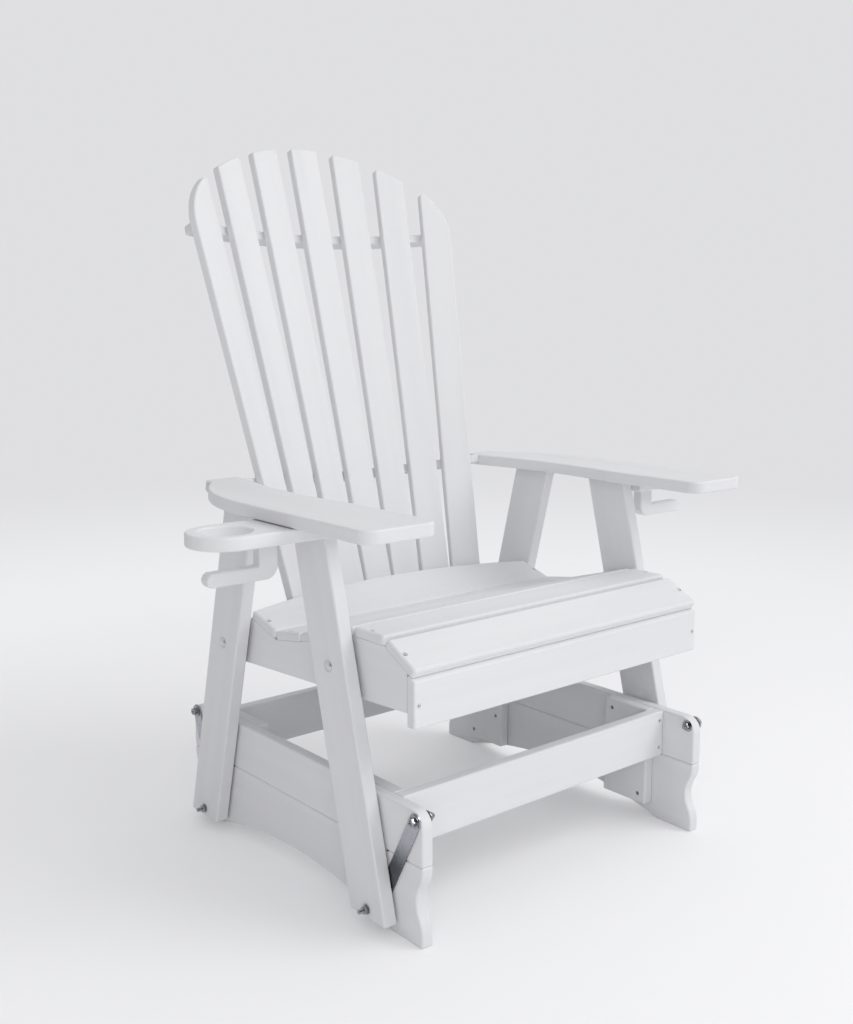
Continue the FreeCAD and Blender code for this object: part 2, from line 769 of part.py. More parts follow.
def slat_screw_spots():
    """One screw near each end of every slat, down into the stringer."""
    x = float(stringer_out - S["stringer_screw_inset"])
    middle = float(S["slat_gap"] / 2 + S["slat_width"] / 2)
    spots = []
    for index in range(len(SLAT_NAMES)):
        place = slat_place(index)
        for _, side in SIDES:
            head = place.multVec(Vector(side * x, middle, float(S["seat_board"])))
            spots.append((head, place.Rotation.multVec(Vector(0, 0, -1))))
    return spots


# Arms and cup holders

def arm_bolt_axis():
    """A point on the right arm bolt's axis: behind the middle rail's front edge, where the bolt ends."""
    tip = float(arm_in - S["arm_tail_inner"] - S["arm_bolt_grip"])
    height = float(middle_rail_height)
    depth = rail_edge(height, tip) + float(S["arm_bolt_wall"] + S["bolt_diameter"] / 2)
    return BACK.multVec(Vector(tip, depth, height))


def arms():
    radius = S["arm_corner"]
    part = radius * (1 - math.sqrt(0.5))
    front, rear = S["arm_front_y"], as_size(arm_bolt_axis().y) + S["arm_bolt_inset"]
    inner_tail, outer_tail = arm_in - S["arm_tail_inner"], arm_out - S["arm_tail_outer"]
    taper, flat, waist_end = S["arm_taper_y"], rear - S["arm_tail_flat"], rear - S["arm_waist_rear"]
    run, inset = flat - taper, S["arm_tail_outer"]
    curve = (run * run + inset * inset) / (inset * 2)
    outer_mid = arm_out - curve + root(curve * curve - run * run / 4)
    tail = S["arm_tail_corner"]
    tail_part = tail * (1 - math.sqrt(0.5))
    waist_y = (S["arm_waist_front_y"] + waist_end) / 2
    outline = [
        (arm_in, front + radius), (arm_in + radius, front, arm_in + part, front + part),
        (arm_out - radius, front), (arm_out, front + radius, arm_out - part, front + part),
        (arm_out, taper), (outer_tail, flat, outer_mid, taper + run / 2),
        (outer_tail, rear - tail), (outer_tail - tail, rear, outer_tail - tail_part, rear - tail_part),
        (inner_tail, rear), (inner_tail, waist_end),
        (arm_in, S["arm_waist_front_y"], arm_in + S["arm_waist"], waist_y),
    ]
    for name, side in SIDES:
        body = board("arm_" + name, "XY_Plane", mirrored(outline, side), S["board"], shift(z=arm_under))
        drilled("%s_arm" % name, body, arm_bolt_holes)


def arm_bolts():
    """Carriage bolts from the arms' outer edges into the ends of the middle back rail."""
    axis, seat = arm_bolt_axis(), float(arm_out - S["arm_tail_outer"])
    length = seat - axis.x
    bolt = cylinder(S["bolt_diameter"], length).fuse(dome(S["arm_bolt_head"], S["bolt_dome"]))
    hole = cylinder(bolt_hole, length + float(S["bolt_fit"]))
    spots = [(Vector(side * seat, axis.y, axis.z), Vector(-side, 0, 0)) for _, side in SIDES]
    group("arm_bolts", [placed(bolt, spot, way) for spot, way in spots])
    return hidden_group("arm_bolt_holes", [placed(hole, spot, way) for spot, way in spots])


def cup_holders():
    bore = S["cup_bore"] / 2
    rim = bore + S["cup_rim"]
    y = S["cup_y"]
    board_under = arm_under - S["cup_drop"] - S["board"]
    tongue_top = board_under - S["tongue_drop"]
    tongue_low, half = tongue_top - S["tongue_height"], S["tongue_height"] / 2
    root_x = cup_x - S["bracket_root"]
    tip = cup_x + S["tongue_tip"] - half
    radius = S["bracket_corner"]
    part = radius * (1 - math.sqrt(0.5))
    ring = [(leg_out, y - rim), (cup_x, y - rim), (cup_x, y + rim, cup_x + rim, y), (leg_out, y + rim)]
    bracket = [(root_x, board_under), (root_x, tongue_low + radius),
               (root_x + radius, tongue_low, root_x + part, tongue_low + part),
               (tip, tongue_low), (tip, tongue_top, tip + half, tongue_top - half),
               (root_x + S["bracket_stem"], tongue_top), (root_x + S["bracket_stem"], board_under)]
    for name, side in SIDES:
        body = board("cup_board_" + name, "XY_Plane", mirrored(ring, side), S["board"], shift(z=board_under))
        cut = pocket(body, circle_sketch(body, "XY_Plane", side * cup_x, y, bore))
        rims = edge_names(cut.Shape, lambda edge: isinstance(edge.Curve, Part.Circle) and edge.Closed
                          and abs(edge.Curve.Radius - float(bore)) < 1e-6)
        fillet(body, cut, rims, S["edge_round"])
        keep("%s_cup_board" % name, body)
        start = shift(y=y + S["board"] / 2)
        keep("%s_cup_bracket" % name,
             board("cup_bracket_" + name, "XZ_Plane", mirrored(bracket, side), S["board"], start))


# Back: a frame of its own, X across, Y through the slats to the rear, Z up along the recline

BACK = Placement(Vector(0, float(S["back_y"]), float(S["back_z"])), Rotation(AXES["x"], -float(S["recline"])))
BOW = math.tan(math.radians(float(S["bow_angle"]))) / 2
FAN = math.tan(math.radians(float(S["fan_angle"])))
OUTERMOST = BACK_SLATS // 2


def pitch_at(height):
    return float(back_pitch) + FAN * height


def bow_radius(height):
    """Radius of the arc through the middle slat's face and the outer ones, where they cross a height."""
    reach = OUTERMOST * pitch_at(height)
    drop = BOW * OUTERMOST * reach
    return (reach * reach + drop * drop) / (2 * drop)


def slat_axis(index):
    """A slat's foot on the seat level and its direction, in the back's frame."""
    foot = Vector(index * pitch_at(0), -BOW * index * index * pitch_at(0), 0)
    way = Vector(index * FAN, -BOW * index * index * FAN, 1)
    return foot, way.normalize()


def back_slat_place(index):
    foot, way = slat_axis(index)
    tangent = Vector(1, -2 * BOW * index, 0)
    normal = tangent.cross(way).normalize() * -1
    return BACK * Placement(foot, Rotation(way.cross(normal), way, normal, "ZYX"))


def crown_along(index, x):
    """Where a slat's face meets the crown, along the slat, at a distance x from its middle line."""
    place = BACK.inverse() * back_slat_place(index)
    start, way = place.multVec(Vector(x, 0, 0)), place.Rotation.multVec(Vector(0, 1, 0))
    radius = float(S["crown_radius"])
    from_centre = start - Vector(0, start.y, float(S["crown_height"]) - radius)
    flat_way = Vector(way.x, 0, way.z)
    a, b = flat_way.dot(flat_way), flat_way.dot(from_centre)
    c = from_centre.dot(from_centre) - radius * radius
    return (math.sqrt(b * b - a * c) - b) / a


def back_slats():
    half = back_slat_width / 2
    for number in range(BACK_SLATS):
        index = number - OUTERMOST
        label = "back_slat_%d" % (number + 1)
        left, middle, right = (as_size(crown_along(index, float(x))) for x in (-half, ZERO, half))
        outline = [(-half, S["slat_foot"]), (half, S["slat_foot"]), (half, right),
                   (-half, left, ZERO, middle)]
        body = doc.addObject("PartDesign::Body", label + "_body")
        base = pad(body, outline_sketch(body, "XY_Plane", outline), S["back_board"])

        def at_crown(edge):
            return along("z")(edge) and edge.CenterOfMass.y > 0
        if abs(index) == OUTERMOST:
            outer = edge_names(base.Shape, lambda edge: at_crown(edge) and edge.CenterOfMass.x * index < 0)
            base = fillet(body, base, outer, 2 * back_slat_width - S["crown_corner_inset"])
        base = fillet(body, base, edge_names(base.Shape, at_crown), S["slat_corner"])
        fillet(body, base, edge_names(base.Shape, lambda edge: not along("z")(edge)), S["edge_round"])
        body.Placement = back_slat_place(index)
        drilled(label, body, lower_screw_holes, back_screw_holes)


def rail_edge(height, x, depth=0.0):
    """A curved rail's front edge behind the slats, or its rear edge where it has a depth."""
    far = bow_radius(height) + float(S["back_board"] + S["rail_gap"]) + depth
    return math.sqrt(far * far - x * x) - bow_radius(height)


def rail_outline(height, half, depth, straight):
    """A rail in the back's XY plane: its front edge follows the slats' rear faces."""
    near, rear = rail_edge(height, half), rail_edge(height, 0.0, depth)
    points = [(-half, near), (half, near, 0.0, rail_edge(height, 0.0))]
    if straight:
        points += [(half, rear), (-half, rear)]
    else:
        end = rail_edge(height, half, depth)
        points += [(half, end), (-half, end, 0.0, rear)]
    return [tuple(as_size(n) for n in p) for p in points]


def back_rails():
    inner_tail = float(arm_in - S["arm_tail_inner"])
    upper_half = OUTERMOST * pitch_at(float(S["upper_rail_height"])) + float(back_slat_width / 2)
    upper_half -= float(S["upper_rail_inset"])
    rails = (("lower", S["lower_rail_height"], float(stringer_in), S["lower_rail_depth"]),
             ("middle", middle_rail_height, inner_tail, S["rail_depth"]),
             ("upper", S["upper_rail_height"], upper_half, S["rail_depth"]))
    for name, height, half, depth in rails:
        label = "%s_back_rail" % name
        outline = rail_outline(float(height), half, float(depth), name == "lower")
        body = doc.addObject("PartDesign::Body", label + "_body")
        base = pad(body, outline_sketch(body, "XY_Plane", outline), S["back_board"])
        if name == "upper":
            base = fillet(body, base, edge_names(base.Shape, along("z")), S["rail_corner"])
        fillet(body, base, edge_names(base.Shape, lambda edge: not along("z")(edge)), S["edge_round"])
        body.Placement = BACK * shift(z=height - S["back_board"] / 2)
        drilled(label, body, lower_screw_holes, back_screw_holes, arm_bolt_holes)


def back_screws():
    """Screws through the curved rails into each slat, and through each slat into the lower rail."""
    through = S["rail_depth"] + S["rail_gap"]
    lower, upper = [], []
    for number in range(BACK_SLATS):
        index = number - OUTERMOST
        foot, way = slat_axis(index)
        place = back_slat_place(index)
        normal = place.Rotation.multVec(Vector(0, 0, 1))
        inward = place.Rotation.multVec(Vector(index * float(S["back_screw_step"]), 0, 0))

        def face_at(height):
            return BACK.multVec(foot + way * (float(height) / way.z)) + inward
        lower.append((face_at(S["lower_rail_height"]), normal))
        for height in (middle_rail_height, S["upper_rail_height"]):
            upper.append((face_at(height) + normal * float(S["back_board"] + through), normal * -1))
    return (screws("lower_rail_screws", lower, S["back_board"] + S["rail_gap"] + S["lower_screw_bite"]),
            screws("back_rail_screws", upper, through + S["back_screw_bite"]))


# Holes come before the boards that they are cut in
rail_holes = screws("base_rail_screws", rail_screw_spots(), S["board"] + S["rail_screw_bite"])
cleat_holes = screws("base_cleat_screws", cleat_screw_spots(), S["board"] + S["screw_bite"])
apron_holes = screws("apron_screws", apron_screw_spots(), S["apron_board"] + S["end_screw_bite"])
slat_holes = screws("seat_slat_screws", slat_screw_spots(), S["seat_board"] + S["seat_screw_bite"])
lower_screw_holes, back_screw_holes = back_screws()
upper_bolt_holes = upper_bolts()
leg_bolt_holes = leg_bolts()
arm_bolt_holes = arm_bolts()
stud_holes = lower_stud_holes()

base_panels()
base_rails()
base_cleats()
links()
legs()
stringers()
apron()
seat_slats()
arms()
cup_holders()
back_rails()
back_slats()
doc.recompute()

# Check and write
for thing in doc.Objects:
    if {"Invalid", "Error"} & set(thing.State):
        raise RuntimeError("failed: %s %s" % (thing.Name, thing.State))
for label, thing in NODES.items():
    if thing.Shape.isNull() or not thing.Shape.isValid():
        raise RuntimeError("bad shape: %s" % label)
    thing.Shape.exportStep("parts/%s.step" % label)
    box = thing.Shape.BoundBox
    reach = (box.XMin, box.XMax, box.YMin, box.YMax, box.ZMin, box.ZMax)
    print("%-26s %2d solids  %9.0f mm3 " % (label, len(thing.Shape.Solids), thing.Shape.Volume)
          + "  x %7.1f %7.1f  y %7.1f %7.1f  z %7.1f %7.1f" % reach)
print("%d sub-parts" % len(NODES))
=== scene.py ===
# %% [markdown]
# # A glider chair in white poly lumber
#
# The chair is a fan-backed garden seat that hangs in a low base on four steel links.
# Its boards are already solids with the right outlines and rounded edges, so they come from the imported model
# as they are, and this lesson gives them their finish. What a plain solid can't show is made here: the screws
# with their star recesses, the bolts, nuts and washers with chamfers and threads, the link bars and the pins.

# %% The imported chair
import json
import math

import bmesh
import bpy
import numpy as np
from mathutils import Matrix, Vector

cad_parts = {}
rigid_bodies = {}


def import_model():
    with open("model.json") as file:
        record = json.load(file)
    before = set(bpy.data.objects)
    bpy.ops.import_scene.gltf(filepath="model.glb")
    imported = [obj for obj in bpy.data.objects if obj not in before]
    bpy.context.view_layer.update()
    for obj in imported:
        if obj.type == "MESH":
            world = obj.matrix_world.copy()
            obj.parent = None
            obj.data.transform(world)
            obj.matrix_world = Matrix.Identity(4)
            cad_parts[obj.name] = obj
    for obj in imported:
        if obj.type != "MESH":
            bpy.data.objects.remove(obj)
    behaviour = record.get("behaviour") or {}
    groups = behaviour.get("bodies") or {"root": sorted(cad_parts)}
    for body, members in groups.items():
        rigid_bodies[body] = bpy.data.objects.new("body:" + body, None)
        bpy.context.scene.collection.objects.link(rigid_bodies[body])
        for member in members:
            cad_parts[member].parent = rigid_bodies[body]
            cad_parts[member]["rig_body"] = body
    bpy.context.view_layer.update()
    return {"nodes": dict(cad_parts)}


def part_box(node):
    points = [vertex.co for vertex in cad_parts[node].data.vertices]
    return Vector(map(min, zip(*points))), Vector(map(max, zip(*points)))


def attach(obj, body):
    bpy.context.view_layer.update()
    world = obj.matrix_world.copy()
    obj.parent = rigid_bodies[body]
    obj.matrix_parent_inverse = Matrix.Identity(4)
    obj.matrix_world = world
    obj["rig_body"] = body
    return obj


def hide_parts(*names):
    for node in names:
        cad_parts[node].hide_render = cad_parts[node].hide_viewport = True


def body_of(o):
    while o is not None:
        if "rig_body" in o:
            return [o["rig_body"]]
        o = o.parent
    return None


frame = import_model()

NODES = frame["nodes"]
scene = bpy.context.scene
scene.view_settings.view_transform = "Standard"

# %% [markdown]
# ## The camera
#
# The photograph was taken from the front left, a little above the arms. A camera is a place and three axes:
# to its right, up, and backward. Building the rotation from those axes is shorter than tracking a target,
# and it gives exactly the angles that were measured on the picture.

# %% Camera at the photograph's angle
PHOTO = (853, 1024)
FOCAL_PIXELS = 1198.16
AZIMUTH, ELEVATION = math.radians(-40.0), math.radians(9.655)
CAMERA_PLACE = Vector((-1.4375, -1.6649, 0.9793))

backward = Vector((math.sin(AZIMUTH) * math.cos(ELEVATION),
                   -math.cos(AZIMUTH) * math.cos(ELEVATION), math.sin(ELEVATION)))
rightward = Vector((math.cos(AZIMUTH), math.sin(AZIMUTH), 0))
upward = backward.cross(rightward)

camera = bpy.data.objects.new("camera", bpy.data.cameras.new("camera"))
scene.collection.objects.link(camera)
camera.matrix_world = (Matrix.Translation(CAMERA_PLACE)
                       @ Matrix((rightward, upward, backward)).transposed().to_4x4())
camera.data.lens = camera.data.sensor_width * FOCAL_PIXELS / max(PHOTO)
scene.camera = camera
print("lens %.2f mm" % camera.data.lens)

# %% [markdown]
# ## Writing node trees as sums
#
# A finish is a few textures added and multiplied together. Wiring each Math node by hand hides the idea, so
# one small class wraps an output socket and adds the Math node when Python sees `+`, `-` or `*`.
# Every other node comes from `Nodes.add`, which takes its type, its settings and its inputs, and which serves
# materials, the world and Geometry Nodes alike.

# %% A socket that does arithmetic, and a tree that makes nodes
class Socket:
    def __init__(self, nodes, output):
        self.nodes = nodes
        self.output = output

    def math(self, operation, first, second=0.0):
        return self.nodes.add("ShaderNodeMath", {"operation": operation}, {0: first, 1: second})

    def __add__(self, other):
        return self.math("ADD", self, other)

    def __sub__(self, other):
        return self.math("SUBTRACT", self, other)

    def __rsub__(self, other):
        return self.math("SUBTRACT", other, self)

    def __mul__(self, other):
        return self.math("MULTIPLY", self, other)

    def __abs__(self):
        return self.math("ABSOLUTE", self)

    __radd__ = __add__
    __rmul__ = __mul__

    def between(self, low, high):
        """0 below low, 1 above high, and a smooth step from one to the other."""
        return self.nodes.add("ShaderNodeMapRange", {"interpolation_type": "SMOOTHSTEP"},
                              {"Value": self, "From Min": low, "From Max": high})


class Nodes:
    def __init__(self, tree):
        self.tree = tree
        tree.nodes.clear()

    def add(self, kind, settings=None, inputs=None, output=0):
        node = self.tree.nodes.new(kind)
        for key, value in (settings or {}).items():
            setattr(node, key, value)
        for key, value in (inputs or {}).items():
            if isinstance(value, Socket):
                self.tree.links.new(value.output, node.inputs[key])
            else:
                node.inputs[key].default_value = value
        return Socket(self, node.outputs[output]) if node.outputs else node

    def blend(self, factor, first, second):
        """A colour between two colours."""
        return self.add("ShaderNodeMix", {"data_type": "RGBA"}, {0: factor, 6: first, 7: second}, output=2)

    def along(self, vector, way):
        """How far a vector goes in a direction."""
        return self.add("ShaderNodeVectorMath", {"operation": "DOT_PRODUCT"}, {0: vector, 1: way},
                        output="Value")

    def stretch(self, vector, sizes):
        return self.add("ShaderNodeVectorMath", {"operation": "MULTIPLY"}, {0: vector, 1: sizes})


def new_material(name):
    material = bpy.data.materials.new(name)
    material.use_nodes = True
    return material, Nodes(material.node_tree)


def colour(red, green, blue):
    return (red, green, blue, 1.0)

# %% [markdown]
# ## Floor, backdrop and light
#
# The picture is a studio shot on a seamless pale floor. One big plane does for the floor: near the chair it
# is a real white surface that takes the shadows, mixed with a glow of its own, as a lit sweep has. Further
# off only the glow is left, which fades into the tone of the backdrop, so that no horizon shows.
# Only the camera and mirrors see that glow: it makes the floor pale without lighting the chair from below.
# The chair is lit by a broad soft lamp from the front right, a weaker one beside the camera, and a room that
# is brightest overhead. In mirrors the room is dark behind the camera: without that, bright steel looks like
# paint. The weaker lamp doesn't show in mirrors, because it would fill that dark.

# %% Studio
BACKDROP = colour(0.742, 0.742, 0.758)
FLOOR_WHITE = colour(0.94, 0.94, 0.95)
FLOOR_GLOW = colour(0.87, 0.875, 0.89)
GLOW_SHARE = 0.25
SHADOWS_FADE = (0.8, 2.4)
GLOW_FADES = (1.4, 5.0)
FLOOR_SIZE = 80.0
OVERHEAD_LIGHT, RIGHT_LIGHT = 0.72, 0.27
ROOM_FADES = (-0.4, 1.0)
DARK_SIDE = Vector((-0.62, -0.75, 0.22)).normalized()
DARK_SPREAD = (0.72, 0.93)
DARK_ROOM = colour(0.05, 0.05, 0.055)
DAYLIGHT = colour(1.0, 1.0, 1.02)

paint, sweep = new_material("studio_floor")
place = sweep.add("ShaderNodeTexCoord", output="Object")
distance = sweep.add("ShaderNodeVectorMath", {"operation": "LENGTH"}, {0: place}, output="Value")
tint = sweep.blend(distance.between(*GLOW_FADES), FLOOR_GLOW, BACKDROP)
glow = sweep.add("ShaderNodeEmission", inputs={"Color": tint})
white = sweep.add("ShaderNodeBsdfDiffuse", inputs={"Color": FLOOR_WHITE})
share = GLOW_SHARE + (1 - GLOW_SHARE) * distance.between(*SHADOWS_FADE)
looked_at = sum(sweep.add("ShaderNodeLightPath", output="Is %s Ray" % kind)
                for kind in ("Camera", "Glossy", "Transmission"))
surface = sweep.add("ShaderNodeMixShader", inputs={0: share * looked_at, 1: white, 2: glow})
sweep.add("ShaderNodeOutputMaterial", inputs={"Surface": surface})

floor_mesh = bpy.data.meshes.new("studio_floor")
half = FLOOR_SIZE / 2
corners = [(-half, -half, 0), (half, -half, 0), (half, half, 0), (-half, half, 0)]
floor_mesh.from_pydata(corners, [], [(0, 1, 2, 3)])
floor_mesh.materials.append(paint)
floor = bpy.data.objects.new("studio_floor", floor_mesh)
scene.collection.objects.link(floor)

scene.world = bpy.data.worlds.new("studio_room")
scene.world.use_nodes = True
room = Nodes(scene.world.node_tree)
straight = (room.add("ShaderNodeLightPath", output="Is Camera Ray")
            + room.add("ShaderNodeLightPath", output="Is Transmission Ray"))
mirrored = room.add("ShaderNodeLightPath", output="Is Glossy Ray")
way = room.add("ShaderNodeTexCoord", output="Generated")
shade = room.along(way, DARK_SIDE).between(*DARK_SPREAD)
level = (OVERHEAD_LIGHT * room.along(way, (0, 0, 1)).between(*ROOM_FADES)
         + RIGHT_LIGHT * room.along(way, (1, 0, 0)).between(*ROOM_FADES))
lit = room.add("ShaderNodeBackground", inputs={"Color": DAYLIGHT, "Strength": level})
seen = room.add("ShaderNodeBackground", inputs={"Color": BACKDROP})
reflected = room.add("ShaderNodeBackground", inputs={"Color": room.blend(shade, BACKDROP, DARK_ROOM)})
surface = room.add("ShaderNodeMixShader", inputs={0: mirrored, 1: lit, 2: reflected})
surface = room.add("ShaderNodeMixShader", inputs={0: straight, 1: surface, 2: seen})
room.add("ShaderNodeOutputWorld", inputs={"Surface": surface})


def soft_lamp(name, place, target, size, power):
    """A square area lamp that faces a point."""
    data = bpy.data.lights.new(name, "AREA")
    data.size = size
    data.energy = power
    lamp = bpy.data.objects.new(name, data)
    scene.collection.objects.link(lamp)
    lamp.location = place
    lamp.rotation_euler = (Vector(target) - Vector(place)).to_track_quat("-Z", "Y").to_euler()
    return lamp


CHAIR_MIDDLE = (0, 0, 0.6)
soft_lamp("key_lamp", (2.3, -2.9, 3.4), CHAIR_MIDDLE, 2.6, 77)
fill = soft_lamp("fill_lamp", (-2.6, -3.3, 1.7), CHAIR_MIDDLE, 2.4, 36)
fill.visible_glossy = False

# %% [markdown]
# ## Poly lumber
#
# The boards are extruded plastic: white right through, satin, with faint streaks along the extrusion, a fine
# skin like very smooth orange peel, and faint saw marks on the cut ends. The streaks have to run along each
# board, so the finish takes the board's direction and turns the Object coordinates until it lies along their
# X axis. The ends are found by the surface normal: there it points along the board.

# %% Poly lumber finish
LUMBER_WHITE = colour(0.760, 0.763, 0.772)
LUMBER_SHADE = colour(0.733, 0.736, 0.747)
LUMBER_CUT = colour(0.722, 0.725, 0.735)


def poly_lumber(name, grain):
    """White extruded boards; grain is the direction that they were extruded in."""
    material, nodes = new_material(name)
    turn = Vector(grain).rotation_difference(Vector((1, 0, 0))).to_euler()
    point = nodes.add("ShaderNodeTexCoord", output="Object")
    board = nodes.add("ShaderNodeMapping", inputs={"Vector": point, "Rotation": turn})
    facing = nodes.add("ShaderNodeTexCoord", output="Normal")
    cut = abs(nodes.along(facing, Vector(grain).normalized())).between(0.85, 0.97)

    def streaks(along, across, detail):
        return nodes.add("ShaderNodeTexNoise", inputs={
            "Vector": nodes.stretch(board, (along, across, across)), "Scale": 1.0, "Detail": detail})

    broad = streaks(1.3, 26.0, 3.0)
    fine = streaks(6.0, 420.0, 2.0)
    skin = nodes.add("ShaderNodeTexNoise", inputs={"Vector": point, "Scale": 520.0, "Detail": 2.0})
    saw = nodes.add("ShaderNodeTexWave", {"bands_direction": "DIAGONAL"}, {
        "Vector": point, "Scale": 520.0, "Distortion": 2.5, "Detail": 2.0, "Detail Scale": 2.0})
    tone = nodes.blend(broad.between(0.35, 0.75), LUMBER_WHITE, LUMBER_SHADE)
    tone = nodes.blend(cut * (0.6 + 0.4 * saw), tone, LUMBER_CUT)
    rough = 0.54 + 0.10 * fine + 0.06 * broad + 0.08 * cut
    relief = (1 - cut) * (0.55 * fine + 0.45 * skin) + cut * (0.3 * saw + 0.4 * skin)
    bump = nodes.add("ShaderNodeBump", inputs={"Strength": 0.16, "Distance": 0.0006, "Height": relief})
    surface = nodes.add("ShaderNodeBsdfPrincipled", inputs={
        "Base Color": tone, "Roughness": rough, "Normal": bump, "IOR": 1.5, "Specular IOR Level": 0.25})
    nodes.add("ShaderNodeOutputMaterial", inputs={"Surface": surface})
    return material


def dress(material, *names):
    for name in names:
        mesh = NODES[name].data
        mesh.materials.clear()
        mesh.materials.append(material)


ACROSS, ALONG, UP = (1, 0, 0), (0, 1, 0), (0, 0, 1)
SIDES = ("left", "right")
ENDS = ("front", "rear")


def long_way(points):
    """The direction in which points spread most."""
    points = points - (points.min(0) + points.max(0)) / 2
    return np.linalg.eigh(points.T @ points)[1][:, -1]


def board_direction(name):
    return tuple(float(n) for n in long_way(np.array([v.co for v in NODES[name].data.vertices])))


lumber_across = poly_lumber("lumber_across", ACROSS)
lumber_along = poly_lumber("lumber_along", ALONG)
lumber_upright = poly_lumber("lumber_upright", UP)
dress(lumber_across, "base_front_rail", "base_rear_rail", "front_apron", "left_cup_board", "right_cup_board",
      "left_cup_bracket", "right_cup_bracket", "lower_back_rail", "middle_back_rail", "upper_back_rail",
      *(name for name in NODES if name.startswith("seat_slat_") and not name.endswith("screws")))
dress(lumber_along, *("base_%s_%s_board" % (side, level) for side in SIDES for level in ("lower", "upper")),
      *("%s_%s" % (side, piece) for side in SIDES for piece in ("stringer", "arm")))
dress(lumber_upright, *("base_%s_%s_cleat" % (end, side) for end in ENDS for side in SIDES))
for end in ENDS:
    legs = ["%s_%s_leg" % (end, side) for side in SIDES]
    dress(poly_lumber("lumber_%s_legs" % end, board_direction(legs[0])), *legs)
for name in sorted(n for n in NODES if n.startswith("back_slat_")):
    dress(poly_lumber("lumber_" + name, board_direction(name)), name)
print("poly lumber finishes:", len([m for m in bpy.data.materials if m.name.startswith("lumber")]))

# %% [markdown]
# ## Steel
#
# The nuts, washers and hex bolts are dark and polished, the domed bolts are paler and duller, and the link
# bars are rolled flat bar with a bluish plating. Their colour darkens towards the lower pivot: that is painted
# shade, standing for a dark reflection. All are metals, so what they show is the room. A little unevenness in
# roughness keeps them from looking like mirrors. The screws in the cleats and the back are dark, and those in
# the seat and the base rails have pale heads.

# %% Steel finishes
def steel(name, bright, dull, roughness, lines, painted_shade_tone=None):
    """Plated steel; lines stretches the unevenness, and the optional last tone is painted shade that darkens
    the colour low down on the part.
    """
    material, nodes = new_material(name)
    point = nodes.add("ShaderNodeTexCoord", output="Object")
    rolled = nodes.add("ShaderNodeTexNoise", inputs={
        "Vector": nodes.stretch(point, lines), "Scale": 1.0, "Detail": 3.0})
    spots = nodes.add("ShaderNodeTexNoise", inputs={"Vector": point, "Scale": 160.0, "Detail": 3.0})
    tone = nodes.blend(spots.between(0.38, 0.70), bright, dull)
    # Painted shade: below these heights the colour turns to the dark tone, standing for a dark reflection.
    if painted_shade_tone:
        tone = nodes.blend(nodes.along(point, UP).between(*PAINTED_SHADE_HEIGHTS), painted_shade_tone, tone)
    rough = roughness + 0.10 * rolled + 0.05 * spots
    bump = nodes.add("ShaderNodeBump", inputs={"Strength": 0.10, "Distance": 0.0003, "Height": rolled})
    surface = nodes.add("ShaderNodeBsdfPrincipled", inputs={
        "Base Color": tone, "Metallic": 1.0, "Roughness": rough, "Normal": bump})
    nodes.add("ShaderNodeOutputMaterial", inputs={"Surface": surface})
    return material


EVEN_LINES, BAR_LINES = (700, 700, 700), (900, 40, 40)
# The link bars' painted shade: fully dark below the first height, gone above the second.
PAINTED_SHADE_HEIGHTS = (0.112, 0.176)
bolt_steel = steel("bolt_steel", colour(0.40, 0.40, 0.42), colour(0.31, 0.31, 0.33), 0.08, EVEN_LINES)
dome_steel = steel("dome_steel", colour(0.64, 0.645, 0.66), colour(0.57, 0.575, 0.59), 0.26, EVEN_LINES)
# The link bars' dark lower end is painted shade for a dark reflection, not a tone of the plating.
link_steel = steel("link_steel", colour(0.46, 0.47, 0.505), colour(0.43, 0.44, 0.475), 0.20, BAR_LINES,
                   painted_shade_tone=colour(0.12, 0.125, 0.145))
screw_steel = steel("screw_steel", colour(0.26, 0.26, 0.27), colour(0.19, 0.19, 0.20), 0.22, EVEN_LINES)
pale_screw = steel("pale_screw", colour(0.76, 0.76, 0.77), colour(0.68, 0.68, 0.69), 0.42, EVEN_LINES)

LINKS = ["%s_%s_link" % (end, side) for end in ENDS for side in SIDES]
SCREWS = sorted(name for name in NODES if name.endswith("_screws"))
PALE_SCREWS = ("apron_screws", "base_rail_screws", "seat_slat_screws", "lower_rail_screws")
BOLTS = sorted(name for name in NODES if name.endswith("_bolts"))
FLAT_HARDWARE = sorted(name for name in NODES if name.endswith(("_nuts", "_washers", "_spacers")))


def hardware_finish(name):
    if name.endswith("_screws"):
        return pale_screw if name in PALE_SCREWS else screw_steel
    return dome_steel if name in ("leg_bolts", "arm_bolts") else bolt_steel


for name in SCREWS + BOLTS + FLAT_HARDWARE:
    dress(hardware_finish(name), name)
dress(link_steel, *LINKS)
print("steel on %d screw, %d bolt, %d flat and %d link nodes"
      % (len(SCREWS), len(BOLTS), len(FLAT_HARDWARE), len(LINKS)))

# %% [markdown]
# ## Where each fastener is
#
# All fasteners of a kind are one node with several separate solids. To put a finer shape in each one's place,
# the node's mesh is copied, its doubles are merged, and the points are walked along their edges: what can be
# reached from one point is one solid. A screw or bolt then runs from the middle of its wider end, which is
# the head, to the middle of the other. A nut or washer lies across the chair, so its box gives its middle.

# %% Finding the fasteners
MM = 0.001
WELD = 0.001 * MM
END_RIM = 0.02 * MM
HEAD_DEPTH = 2.0 * MM


def loose_solids(name):
    """The separate solids of a node, each as an array of its points."""
    copy = bmesh.new()
    copy.from_mesh(NODES[name].data)
    bmesh.ops.remove_doubles(copy, verts=copy.verts, dist=WELD)
    found, solids = set(), []
    for start in copy.verts:
        if start not in found:
            found.add(start)
            reached = [start]
            for vert in reached:
                near = [edge.other_vert(vert) for edge in vert.link_edges]
                reached += [other for other in near if other not in found]
                found.update(near)
            solids.append(np.array([vert.co for vert in reached]))
    copy.free()
    return solids


